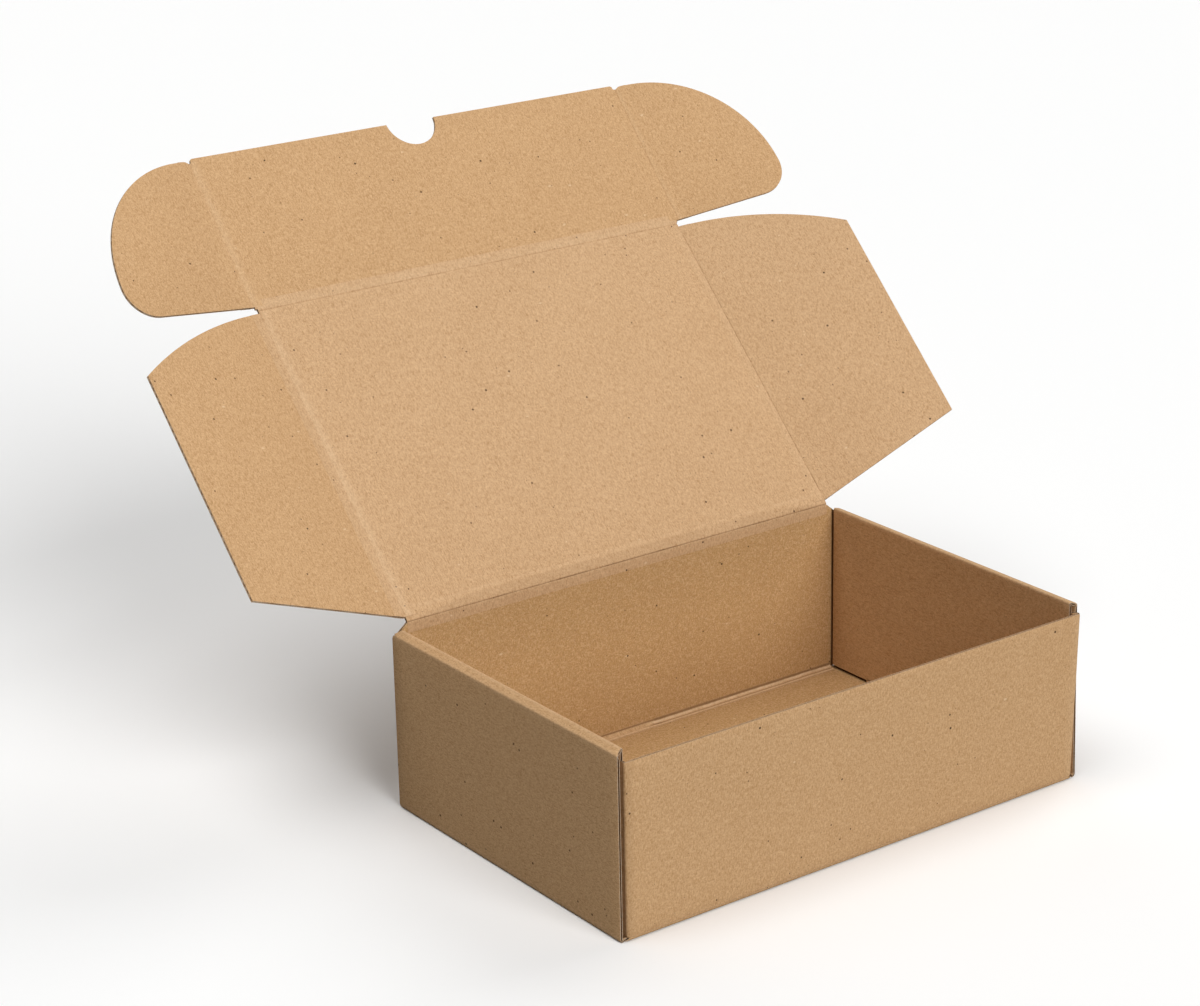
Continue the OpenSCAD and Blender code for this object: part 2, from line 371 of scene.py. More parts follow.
def add_flutes(draft, board, outline):
    """The fluted sheet between two liners, with its flutes along X.

    The cutting die crushes it against the outer liner, so each cut end shows one hollow per flute.
    """
    swing = (board.thickness - 2 * board.liner - board.flute_sheet) / 2 - board.edge_pinch * FLUTE_PRESS
    half = board.flute_sheet / 2
    low = min(y for _, y in outline) + FLUTE_RECESS
    high = max(y for _, y in outline) - FLUTE_RECESS
    count = int((high - low) / (board.flute_pitch / FLUTE_STEPS))
    last = None
    for i in range(count + 1):
        y = low + (high - low) * i / count
        z = swing * math.sin(2 * math.pi * y / board.flute_pitch)
        row = []
        for k, x in enumerate(crossings(outline, y)):
            x += FLUTE_RECESS * (1 if k % 2 == 0 else -1)
            row.append((draft.point((x, y, swing + half)), draft.point((x, y, z - half))))
        if last is not None and len(last) == len(row):
            for k in range(0, len(row) - 1, 2):
                a, b, c, d = last[k], last[k + 1], row[k + 1], row[k]
                draft.face((a[0], b[0], c[0], d[0]), SLOT_FLUTE)
                draft.face((a[1], d[1], c[1], b[1]), SLOT_FLUTE)
                draft.face((a[0], d[0], d[1], a[1]), SLOT_EDGE)
                draft.face((b[0], b[1], c[1], c[0]), SLOT_EDGE)
        last = row


def add_board(draft, board, outline):
    """A flat panel of board, with its middle plane at z = 0."""
    if signed_area(outline) < 0:
        outline = outline[::-1]
    for face_z in (board.thickness / 2, -board.thickness / 2):
        add_liner(draft, board, outline, face_z)
    add_flutes(draft, board, outline)


EASE, EASE_SHARE, EASE_STEPS = 1.5 * MM, 0.3, (0.35, 1.0)


class FoldPath:
    """The board's outer face seen along its folds, as a chain of stations.

    A station holds its place, the way into the board, the board's thickness and its painted light: above zero
    rubbed paper with a painted highlight, below zero painted shade.
    """

    def __init__(self, board, start, heading):
        self.board = board
        self.place = Vector(start)
        self.heading = Vector(heading)
        self.stations = []

    def inward(self):
        """The way into the board, to the left of the path."""
        return Vector((-self.heading.y, self.heading.x))

    def station(self, thickness, fold):
        """Keeps the path's present place as a station."""
        self.stations.append((self.place.copy(), self.inward(), thickness, fold))

    def run(self, distance, folded_before=True, folded_after=True):
        """A flat stretch. The board comes back to full thickness beside a fold."""
        ease = min(EASE, distance * EASE_SHARE)
        start = self.place.copy()
        full = self.board.thickness
        crushed = self.stations[-1][2] if self.stations else full
        if not folded_before:
            self.station(full, 0.0)
        painted_and_rubbed = self.stations[-1][3] if self.stations else 0.0
        for share in EASE_STEPS:
            self.place = start + self.heading * ease * share
            self.station(between(crushed, full, share) if folded_before else full, painted_and_rubbed * (1 - share))
        self.place = start + self.heading * (distance - ease)
        self.station(full, 0.0)
        self.place = start + self.heading * distance
        if not folded_after:
            self.station(full, 0.0)

    def turn(self, degrees, radius, thickness, light_and_rub=0.18, steps=6):
        """A fold to the left on an outside radius, crushed to a thickness, painted pale as rubbed paper with
        a highlight, and dark as painted shade where its painted light is below zero.
        """
        centre = self.place + self.inward() * radius
        arm = self.place - centre
        heading = self.heading.copy()
        for i in range(steps + 1):
            spin = Matrix.Rotation(math.radians(degrees * i / steps), 2)
            self.place = centre + spin @ arm
            self.heading = spin @ heading
            self.station(thickness, light_and_rub)


SWEEP_COLUMNS, RIM_SHARE = 26, 0.2
FOLD_DRIFT, FOLD_DRIFT_SIZE = 0.15 * MM, 14 * MM


def sweep_board(draft, board, stations, spans, to_space, seed, edges=(True, True), nook_shade=None):
    """Liners along a folded path. spans gives each station's start and end along the folds.

    edges says which cut edges show flutes. nook_shade gives the painted shade of the inner face at a place
    that is hidden in a corner, or nothing.
    """
    rows = {"outer": [], "outer_back": [], "inner_back": [], "inner": []}
    for (place, inward, thickness, fold), (low, high) in zip(stations, spans):
        line = {key: [] for key in rows}
        inset = min(board.edge_inset, (high - low) * RIM_SHARE)
        field = high - low - 2 * inset
        marks = [low] + [low + inset + field * k / SWEEP_COLUMNS for k in range(SWEEP_COLUMNS + 1)] + [high]
        for k, w in enumerate(marks):
            pinch = board.edge_pinch if k in (0, len(marks) - 1) else 0.0
            drift = fold * FOLD_DRIFT * wander(w, seed, FOLD_DRIFT_SIZE)
            depths = {"outer": pinch, "outer_back": pinch + board.liner,
                      "inner_back": thickness - board.liner - pinch, "inner": thickness - pinch}
            for key, depth in depths.items():
                q = place + inward * (depth + drift)
                # Painted shade on the inner face where a corner hides it.
                painted_and_rubbed = nook_shade(place) if nook_shade and key == "inner" else 0.0
                line[key].append(draft.point(to_space(q.x, q.y, w), painted_and_rubbed or fold))
        for key in rows:
            rows[key].append(line[key])
    for face in ("outer", "inner"):
        draft.slab(rows[face], rows[f"{face}_back"], sides=SLOT_EDGE, ends=SLOT_EDGE)
    for side, wanted in enumerate(edges):
        if wanted:
            sweep_flutes(draft, board, stations, spans, to_space, side)


EDGE_FLUTES, EDGE_FLUTE_STEPS, EDGE_FLUTE_START, EDGE_FLUTE_PHASE = 2.0, 20, 0.8 * MM, 0.9
LEAST_SWING = 0.05 * MM


def sweep_flutes(draft, board, stations, spans, to_space, side):
    """The outermost flutes along one cut edge of a folded board, which run with the path."""
    half = board.flute_sheet / 2
    rows, backs = [], []
    for (place, inward, thickness, _), span in zip(stations, spans):
        swing = max(LEAST_SWING, (thickness - 2 * board.liner - board.flute_sheet) / 2)
        row, back = [], []
        for k in range(EDGE_FLUTE_STEPS + 1):
            off = EDGE_FLUTE_START + board.flute_pitch * EDGE_FLUTES * k / EDGE_FLUTE_STEPS
            w = span[0] + off if side == 0 else span[1] - off
            wave = math.sin(2 * math.pi * off / board.flute_pitch - EDGE_FLUTE_PHASE)
            for line, shift in ((row, -half), (back, half)):
                q = place + inward * (thickness / 2 + swing * wave + shift)
                line.append(draft.point(to_space(q.x, q.y, w)))
        rows.append(row)
        backs.append(back)
    draft.slab(rows, backs, SLOT_FLUTE, SLOT_FLUTE, SLOT_FLUTE)


LINE_WIDTH, SHADE_FADE, SHADE_TAPER = 0.24, 0.9, 6


class CreaseLook:
    """How a pressed crease looks: its thin line, the sunk bend beside it and the pale band. The dark line is
    the pressed line with painted shade, the shade is painted shade along the bend and the pale band is rubbed
    paper with a painted highlight.

    Places run across the crease in millimetres, negative on the parent's side and positive on the child's.
    """

    def __init__(self, line=0.3, line_at=0.0, sink=0.1, parent_reach=2.0, child_reach=2.0,
                 pale=0.5, pale_at=0.0, pale_width=2.0, dark=0.0, shade=0.0, shade_width=0.0):
        self.line, self.line_at, self.dark = line, line_at, dark
        self.shade, self.shade_width = shade, shade_width
        self.sink, self.parent_reach, self.child_reach = sink, parent_reach, child_reach
        self.pale, self.pale_at, self.pale_width = pale, pale_at, pale_width

    def depth(self, q, deeper):
        """Depth in millimetres below the flat face, q millimetres from the crease."""
        reach = self.parent_reach if q < 0 else self.child_reach
        near = max(0.0, 1 - abs(q) / reach)
        line = self.line * hump(q - self.line_at, LINE_WIDTH)
        return line * deeper + self.sink * near * near

    def light_and_rub(self, q, paler, deeper, share):
        """Above zero where the paper is rubbed pale with a painted highlight, below zero where the pressed
        line and the bend are painted dark as shade.

        share is the place along the crease, from 0 to 1: the painted shade of the bend narrows towards both
        ends.
        """
        # rubbed is rubbed paper with a painted highlight; pressed is the pressed line with painted shade and
        # the painted shade of the bend.
        rubbed = self.pale * paler * hump(q - self.pale_at, self.pale_width)
        pressed = self.dark * deeper * hump(q - self.line_at, LINE_WIDTH)
        reach = self.shade_width * min(1.0, SHADE_TAPER * share, SHADE_TAPER * (1 - share))
        if q >= self.line_at:
            pressed = max(pressed, self.shade * paler * clamped((reach - q) / SHADE_FADE))
        return max(-1.0, min(1.0, rubbed * (1 - pressed) - pressed))


BAND_REACH = (0.0, 0.18, 0.4, 0.7, 1.1, 1.7, 2.5, 3.5, 4.7, 6.0)
BAND_PLACES = [-q for q in reversed(BAND_REACH[1:])] + list(BAND_REACH)
BAND_STEP, BAND_TOP, BAND_RIM = 2.5 * MM, 5.0, -0.04 * MM
LINE_UNEVEN, LINE_UNEVEN_SIZE = 0.5, 8 * MM
PALE_UNEVEN, PALE_UNEVEN_SIZE, PALE_SEED = 0.4, 12 * MM, 5
LEAST_LEAN = 0.5
CORE_HALF, CORE_SHARE, CORE_GAP = 1.4, 0.35, 0.05 * MM
CORE_ENDS, CORE_DEEPEST = (0.001, 0.999), 1.5
OUTER_LOOK = CreaseLook(line=0.1, sink=0.08, pale=0.2, pale_width=1.3)


def crease_band(name, board, origin, along, ends, parent, child, look, lift, seed, panel="plain"):
    """Both liners where they cross a pressed crease, and the crushed core between them.

    ends gives the band's start and end along the crease, q millimetres to the child's side of it.
    parent and child are (direction away from the crease, inward normal).
    """
    draft = Draft()
    half = board.thickness / 2
    middle = (parent[1] + child[1]).normalized()
    stretch = 1 / max(LEAST_LEAN, middle.dot(parent[1]))
    span = ends(0.0)
    count = max(2, int((span[1] - span[0]) / BAND_STEP))

    def across(share, q):
        """A place a share of the way along the crease and q millimetres from it, and the normal there."""
        centre = origin + along * between(*ends(q), share)
        if q < 0:
            return centre - parent[0] * q * MM, parent[1]
        if q > 0:
            return centre + child[0] * q * MM, child[1]
        return centre, middle * stretch

    for face, shape in ((1, look), (-1, OUTER_LOOK)):
        rows, backs = [], []
        for i in range(count + 1):
            a = between(*span, i / count)
            deeper = 1 + LINE_UNEVEN * wander(a, seed, LINE_UNEVEN_SIZE)
            paler = 1 + PALE_UNEVEN * wander(a, seed + PALE_SEED, PALE_UNEVEN_SIZE)
            row, back = [], []
            for q in BAND_PLACES:
                base, up = across(i / count, q)
                rise = lift if abs(q) < BAND_TOP else BAND_RIM
                height = half + rise - shape.depth(q, deeper) * MM
                painted_and_rubbed = shape.light_and_rub(q, paler, deeper, i / count)
                row.append(draft.point(base + up * face * height, painted_and_rubbed))
                back.append(draft.point(base + up * face * (height - board.liner), painted_and_rubbed))
            rows.append(row)
            backs.append(back)
        draft.slab(rows, backs, ends=SLOT_EDGE)
    core = []
    room = half - board.liner - CORE_GAP
    for share in CORE_ENDS:
        section = []
        for side, shape in ((1, look), (-1, OUTER_LOOK)):
            for q in (-CORE_HALF * side, 0.0, CORE_HALF * side):
                base, up = across(share, q)
                rise = min(half * CORE_SHARE, room - shape.depth(q, CORE_DEEPEST) * MM)
                section.append(draft.point(base + up * side * rise))
        core.append(section)
    draft.ring(core[0], core[1], SLOT_FLUTE)
    for section in core:
        draft.face(section, SLOT_FLUTE)
    return draft.make(name, board_materials(panel))


NODE_COLUMNS, NODE_WIDTH, NODE_HEIGHT = 8, 220, 280


def node(tree, kind, **values):
    """A shader node with its settings, in the next free place of its tree."""
    row, column = divmod(len(tree.nodes), NODE_COLUMNS)
    made = tree.nodes.new(kind)
    made.location = (NODE_WIDTH * column, -NODE_HEIGHT * row)
    for key, value in values.items():
        setattr(made, key, value)
    return made


def feed(tree, pairs):
    """Links (output, input) pairs, or sets a plain value on an input."""
    for source, target in pairs:
        if isinstance(source, bpy.types.NodeSocket):
            tree.links.new(source, target)
        else:
            target.default_value = source


def grade(tree, value, low, high, to_low=0.0, to_high=1.0):
    """Maps a value from one range to another, clamped."""
    made = node(tree, "ShaderNodeMapRange")
    feed(tree, [(value, made.inputs["Value"]), (low, made.inputs["From Min"]),
                (high, made.inputs["From Max"]), (to_low, made.inputs["To Min"]),
                (to_high, made.inputs["To Max"])])
    return made.outputs["Result"]


def tint(tree, share, one, two):
    """Mixes two colours by a share."""
    made = node(tree, "ShaderNodeMix", data_type="RGBA")
    feed(tree, [(share, made.inputs["Factor"]), (one, made.inputs["A"]), (two, made.inputs["B"])])
    return made.outputs["Result"]


def sums(tree, operation, one, two):
    """A sum or a product of two values."""
    made = node(tree, "ShaderNodeMath", operation=operation)
    feed(tree, [(one, made.inputs[0]), (two, made.inputs[1])])
    return made.outputs["Value"]


def cloud(tree, where, scale=1.0, detail=3.0, roughness=0.55):
    """Soft uneven noise."""
    made = node(tree, "ShaderNodeTexNoise")
    feed(tree, [(where, made.inputs["Vector"]), (scale, made.inputs["Scale"]),
                (detail, made.inputs["Detail"]), (roughness, made.inputs["Roughness"])])
    return made.outputs["Fac"]


def stretched(tree, where, scale):
    """Places scaled by a fineness along each axis."""
    made = node(tree, "ShaderNodeMapping")
    feed(tree, [(where, made.inputs["Vector"]), (scale, made.inputs["Scale"])])
    return made.outputs["Vector"]


SPOT_LEAST, SPOT_CORE = 0.35, 0.6


def spots(tree, where, size, scale=1.0):
    """A mask of scattered round spots of uneven size."""
    cells = node(tree, "ShaderNodeTexVoronoi")
    pick = node(tree, "ShaderNodeSeparateColor")
    feed(tree, [(where, cells.inputs["Vector"]), (scale, cells.inputs["Scale"]),
                (cells.outputs["Color"], pick.inputs["Color"])])
    reach = grade(tree, pick.outputs["Red"], SPOT_LEAST, 1.0, to_high=size)
    core = sums(tree, "MULTIPLY", reach, SPOT_CORE)
    return grade(tree, cells.outputs["Distance"], reach, core)


def new_group(name, inlets, outlets):
    """An empty node group with its sockets, its inlet's outputs and its outlet's inputs."""
    group = bpy.data.node_groups.new(name, "ShaderNodeTree")
    for direction, sockets in (("INPUT", inlets), ("OUTPUT", outlets)):
        for label, kind in sockets.items():
            group.interface.new_socket(label, in_out=direction, socket_type=f"NodeSocket{kind}")
    return group, node(group, "NodeGroupInput").outputs, node(group, "NodeGroupOutput").inputs


CROSS_FINENESS, FLECK_FINENESS = (950.0, 1150.0, 1150.0), (90.0, 210.0, 150.0)
FLECK_COLOUR = (0.80, 0.62, 0.42, 1.0)
GRAIN_RELIEF, PAPER_ROUGHNESS = 0.6, (0.78, 0.94)


def kraft_fibre_group():
    """Colour, roughness and height of unbleached kraft paper: clouding, fibres, bark specks and flecks."""
    name = "kraft_fibre"
    if name in bpy.data.node_groups:
        return bpy.data.node_groups[name]
    group, inlet, outlet = new_group(
        name, {"Liner": "Color", "Pale fibre": "Color", "Deep fibre": "Color", "Speck": "Color",
               "Fibre fineness": "Vector"},
        {"Colour": "Color", "Roughness": "Float", "Height": "Float"})
    where = node(group, "ShaderNodeTexCoord").outputs["Object"]
    clouds = cloud(group, where, scale=26.0, detail=5.0, roughness=0.6)
    grain = cloud(group, where, scale=1700.0, roughness=0.7)
    strands = cloud(group, stretched(group, where, inlet["Fibre fineness"]), roughness=0.65)
    crossing = cloud(group, stretched(group, where, CROSS_FINENESS), detail=2.0, roughness=0.6)
    specks = spots(group, where, size=0.125, scale=190.0)
    fine_specks = spots(group, where, size=0.13, scale=420.0)
    flecks = spots(group, stretched(group, where, FLECK_FINENESS), size=0.10)
    layers = ((grade(group, clouds, 0.3, 0.7, to_high=0.16), inlet["Deep fibre"]),
              (grade(group, grain, 0.4, 0.7, to_high=0.75), inlet["Pale fibre"]),
              (grade(group, strands, 0.45, 0.72, to_high=0.8), inlet["Deep fibre"]),
              (grade(group, crossing, 0.5, 0.75, to_high=0.6), inlet["Pale fibre"]),
              (sums(group, "MULTIPLY", flecks, 0.4), FLECK_COLOUR),
              (sums(group, "MULTIPLY", fine_specks, 0.6), inlet["Speck"]),
              (sums(group, "MULTIPLY", specks, 0.95), inlet["Speck"]))
    paper = inlet["Liner"]
    for share, laid in layers:
        paper = tint(group, share, paper, laid)
    relief = sums(group, "ADD", sums(group, "MULTIPLY", grain, GRAIN_RELIEF), strands)
    feed(group, [(paper, outlet["Colour"]), (relief, outlet["Height"]),
                 (grade(group, grain, 0.3, 0.7, *PAPER_ROUGHNESS), outlet["Roughness"])])
    return group


def painted_light_group():
    """Painted light on the paper: pale and broken up where a fold is rubbed and a highlight is painted, dark
    where a crease line is pressed and where shade is painted.
    """
    name = "fold_wear"
    if name in bpy.data.node_groups:
        return bpy.data.node_groups[name]
    group, inlet, outlet = new_group(
        name, {"Colour": "Color", "Fold": "Color", "Pressed": "Color", "Strength": "Float"},
        {"Colour": "Color"})
    painted_and_rubbed = node(group, "ShaderNodeAttribute", attribute_name=PAINTED_LIGHT).outputs["Fac"]
    where = node(group, "ShaderNodeTexCoord").outputs["Object"]
    # Above zero: rubbed paper with a painted highlight, broken up by noise.
    broken = grade(group, cloud(group, where, scale=420.0), 0.3, 0.7, to_low=0.35)
    rubbed = sums(group, "MULTIPLY", grade(group, painted_and_rubbed, 0.0, 1.0), broken)
    # Below zero: the pressed crease lines and the painted shade.
    pressed = grade(group, painted_and_rubbed, 0.0, -1.0, to_high=0.85)
    share = sums(group, "MULTIPLY", rubbed, inlet["Strength"])
    pale = tint(group, share, inlet["Colour"], inlet["Fold"])
    feed(group, [(tint(group, pressed, pale, inlet["Pressed"]), outlet["Colour"])])
    return group


FINE_ACROSS, FINE_UP = (2300.0, 560.0, 560.0), (2300.0, 560.0, 2300.0)
SPECULAR, RELIEF_HEIGHT = 0.1, 0.05 * MM


def new_material(name):
    """A material with only its shader, its node tree and the shader."""
    material = bpy.data.materials.new(name)
    material.use_nodes = True
    tree = material.node_tree
    tree.nodes.clear()
    shader = node(tree, "ShaderNodeBsdfPrincipled")
    outlet = node(tree, "ShaderNodeOutputMaterial")
    feed(tree, [(shader.outputs["BSDF"], outlet.inputs["Surface"]),
                (SPECULAR, shader.inputs["Specular IOR Level"])])
    return material, tree, shader


def paper_material(name, board, liner, rub_and_highlight, relief, fineness=FINE_ACROSS):
    """Kraft paper, with the fibre group and the group of rubbing and painted light."""
    if name in bpy.data.materials:
        return bpy.data.materials[name]
    material, tree, shader = new_material(name)
    fibre = node(tree, "ShaderNodeGroup", node_tree=kraft_fibre_group())
    light_and_rub = node(tree, "ShaderNodeGroup", node_tree=painted_light_group())
    bump = node(tree, "ShaderNodeBump")
    for inlet, paper in ((fibre.inputs["Liner"], liner), (fibre.inputs["Pale fibre"], board.pale_colour),
                         (fibre.inputs["Deep fibre"], board.deep_colour),
                         (fibre.inputs["Speck"], board.speck_colour),
                         (light_and_rub.inputs["Fold"], board.fold_rub_and_highlight_colour),
                         (light_and_rub.inputs["Pressed"], board.pressed_and_shade_colour)):
        inlet.default_value = (*paper, 1.0)
    feed(tree, [(fineness, fibre.inputs["Fibre fineness"]), (rub_and_highlight, light_and_rub.inputs["Strength"]),
                (fibre.outputs["Colour"], light_and_rub.inputs["Colour"]),
                (light_and_rub.outputs["Colour"], shader.inputs["Base Color"]),
                (fibre.outputs["Roughness"], shader.inputs["Roughness"]),
                (fibre.outputs["Height"], bump.inputs["Height"]), (relief, bump.inputs["Strength"]),
                (RELIEF_HEIGHT, bump.inputs["Distance"]), (bump.outputs["Normal"], shader.inputs["Normal"])])
    return material


def board_materials(panel="plain"):
    """Liner, cut edge and fluted sheet, in the order of the slots."""
    board = bpy.context.scene.mailer_board
    looks = {"plain": ("kraft_liner", board.liner_colour, FINE_ACROSS),
             "side_wall": ("kraft_side_liner", board.liner_colour, FINE_UP),
             # lid: the paler liner with the painted sheen.
             "lid": ("kraft_lid_liner", board.sheen_painted_colour, FINE_ACROSS),
             # The deeper liner with the painted shade of the tray's inside.
             "inside": ("kraft_inside_liner", board.inside_colour, FINE_ACROSS)}
    name, liner, fineness = looks[panel]
    return [paper_material(name, board, liner, rub_and_highlight=0.75, relief=0.5, fineness=fineness),
            paper_material("kraft_cut_edge", board, board.edge_colour, rub_and_highlight=0.3, relief=0.8),
            # The fluted sheet's material is painted shade for its hollows.
            paper_material("kraft_flute", board, board.flute_shade_colour, rub_and_highlight=0.0, relief=0.6)]


def settle(piece, body):
    """Puts a finished piece on its body."""
    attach(piece, body)
    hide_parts(body)


# Two sections of the bead, from the base to the wall: out from the wall and rise in millimetres, and painted
# light: above zero a painted highlight on a ridge, below zero painted shade in its lines and under its
# ridges.
BEAD_PLAIN = ((4.6, -0.05, 0.0), (4.2, 0.0, -0.1), (3.5, 0.02, -0.3), (3.1, 0.08, 0.1), (2.8, 0.2, 0.8),
              (2.5, 0.25, 0.6), (2.2, 0.3, 0.1), (1.8, 0.4, 0.0), (1.4, 0.6, 0.0), (1.0, 0.85, 0.05),
              (0.6, 1.1, 0.05), (0.3, 1.3, -0.2), (0.12, 1.5, -0.75), (0.08, 1.75, -0.95), (0.05, 2.1, -0.3),
              (-0.03, 2.5, 0.0))
BEAD_RIDGED = ((4.6, -0.05, 0.0), (4.2, 0.0, -0.15), (3.6, 0.02, -0.4), (3.3, 0.08, 0.1), (3.0, 0.22, 0.8),
               (2.6, 0.25, 0.5), (2.2, 0.22, -0.35), (1.9, 0.25, -0.6), (1.55, 0.35, -0.1), (1.2, 0.8, 0.8),
               (0.85, 1.05, 1.0), (0.5, 1.15, 0.5), (0.25, 1.2, -0.7), (0.1, 1.55, -0.95), (0.06, 1.95, -0.8),
               (-0.03, 2.6, 0.0))
SLOT_FIELDS = (1, 3)
BEAD_COUNT, BEAD_MARGIN, BEAD_SINK = 190, 2 * MM, 0.15 * MM
BEAD_MIDDLE, BEAD_HALF = 1.5, 1.0
BUCKLE_AT, BUCKLE_HALF, RIDGE_START = 13 * MM, 3.5 * MM, 2.5 * MM
# The buckle gets a painted highlight on its ridge and a painted shadow in front of it.
BUCKLE_HIGHLIGHT, BUCKLE_SHADOW, BUCKLE_LINE = 1.0, 2.0, 0.4
CORNER_INSET, CORNER_RADIUS = 1.4 * MM, 1.2 * MM
CORNER_FLARE = (-1.4 * MM, 1.0 * MM)


class MAILER_OT_base(bpy.types.Operator):
    """Base with its lock slots, and its folds up to the front and rear walls"""
    bl_idname = "mailer.base"
    bl_label = "Base"

    def execute(self, context):
        p = plan(context.scene)
        draft = Draft()
        self.slotted_plate(draft, p)
        for sign in (-1, 1):
            path = FoldPath(p.board, (p.half_d - p.fold_out, 0), (1, 0))
            path.turn(90, p.fold_out, p.crushed)
            spans = [self.bend_ends(p, sign, station[0].x) for station in path.stations]
            sweep_board(draft, p.board, path.stations, spans, lambda u, v, w, s=sign: (w, s * u, v),
                        SEEDS["base"] + sign, edges=(False, False))
        # The base takes the deeper liner with the painted shade.
        settle(draft.make("base_panel", board_materials("inside")), "tray")
        bead = Draft()
        self.crease_bead(bead, p)
        settle(bead.make("rear_crease_bead", board_materials()), "tray")
        return {"FINISHED"}

    def bend_ends(self, p, sign, out):
        """Ends of the bend under the front or rear wall, where the wall's corner folds round it off."""
        def past(radius):
            """How far the bend has come into a corner fold of this radius."""
            return min(radius, max(0.0, out - p.half_d + radius))

        def rounded(radius):
            """What the corner fold leaves of its radius there."""
            return math.sqrt(radius ** 2 - past(radius) ** 2)

        if sign > 0:
            return -p.wall_half - rounded(p.fold_out), p.wall_half + rounded(p.fold_out)
        drawn_back = CORNER_INSET * past(p.fold_out) / p.fold_out
        left = p.tab_face - drawn_back - CORNER_RADIUS + rounded(CORNER_RADIUS)
        return -left, p.wall_half + CORNER_FLARE[0] + rounded(p.fold_out)

    def slotted_plate(self, draft, p):
        """Both liners of the base as a grid of fields, without the fields of the lock slots."""
        tray, board = p.tray, p.board
        edge_x, edge_y = p.half_w - p.fold_out, p.half_d - p.fold_out
        slot_x = (p.room - tray.lock_gap, p.room + p.t + tray.lock_gap)
        slot_half = tray.lock_width / 2 + tray.lock_gap
        xs = [-edge_x, -slot_x[1], -slot_x[0], slot_x[0], slot_x[1], edge_x]
        ys = [-edge_y]
        for middle in (-tray.lock_pitch / 2, tray.lock_pitch / 2):
            ys += [middle - slot_half, middle + slot_half]
        ys.append(edge_y)
        for low, high in ((0.0, board.liner), (p.t - board.liner, p.t)):
            # Painted shade: the base's top face is painted dark beyond the room, under the side walls' inner
            # layers.
            grid = {(i, j, k): draft.point((x, y, z), -1.0 if z == p.t and abs(x) > p.room else 0.0)
                    for i, x in enumerate(xs) for j, y in enumerate(ys) for k, z in enumerate((low, high))}
            fields = [(i, j) for i in range(len(xs) - 1) for j in range(len(ys) - 1)
                      if not (i in SLOT_FIELDS and j in SLOT_FIELDS)]
            for i, j in fields:
                corners = ((i, j), (i + 1, j), (i + 1, j + 1), (i, j + 1))
                beyond = ((i, j - 1), (i + 1, j), (i, j + 1), (i - 1, j))
                for k in (0, 1):
                    draft.face([grid[(*corner, k)] for corner in corners])
                for a, b, field in zip(corners, corners[1:] + corners[:1], beyond):
                    if field not in fields:
                        draft.face((grid[(*a, 0)], grid[(*b, 0)], grid[(*b, 1)], grid[(*a, 1)]), SLOT_EDGE)

    def crease_bead(self, draft, p):
        """Ridges of paper that the fold pushes up along the foot of the rear wall, with a buckle in them,
        with painted highlights on the ridges and painted shade in the lines between them.
        """
        inner_y = p.half_d - p.t
        half = p.wall_half - BEAD_MARGIN
        rows = []
        for i in range(BEAD_COUNT + 1):
            x = -half + 2 * half * i / BEAD_COUNT
            ridged = clamped((x - BUCKLE_AT) / RIDGE_START + 0.5)
            near = hump(x - BUCKLE_AT, BUCKLE_HALF)
            uneven = 0.3 * wander(x, 5, 5 * MM) + 0.25 * wander(x, 8, 19 * MM)
            sway = 0.3 * MM * wander(x, 2, 26 * MM) + 0.8 * MM * near * wander(x, 3, 2.5 * MM)
            broken = 0.85 + 0.5 * wander(x, 4, 6 * MM)
            row = []
            for plain, ridge in zip(BEAD_PLAIN, BEAD_RIDGED):
                out, rise, painted_and_rubbed = (between(a, b, ridged) for a, b in zip(plain, ridge))
                middle = hump(out - BEAD_MIDDLE, BEAD_HALF)
                tall = 1 + uneven * min(1.0, out) + 0.7 * middle * near * wander(x, 9, 2 * MM)
                # Painted highlight on the buckle's ridge and painted shadow in front of it.
                painted_and_rubbed += near * (hump(out - BUCKLE_HIGHLIGHT, BUCKLE_LINE) - hump(out - BUCKLE_SHADOW, BUCKLE_LINE))
                place = (x, inner_y - out * MM - sway * middle, p.t + rise * tall * MM)
                row.append(draft.point(place, painted_and_rubbed * (broken if painted_and_rubbed > 0 else 1.0)))
            rows.append(row)
        under = [[draft.point((*draft.points[i].xy, p.t - BEAD_SINK)) for i in row] for row in rows]
        draft.slab(rows, under)


# The roll folds are painted pale as rubbed paper with a painted highlight.
ROLL_CRUSH, ROLL_RUB_AND_HIGHLIGHT = 0.9, (0.12, 0.28)
FOOT_RAISE, RIGHT_LEAN = 0.8 * MM, 2.2 * MM
REAR_CORNER_HEIGHT, REAR_CORNER_CUT = 1.6 * MM, 1.4 * MM
LOCK_ROOT = 2 * MM


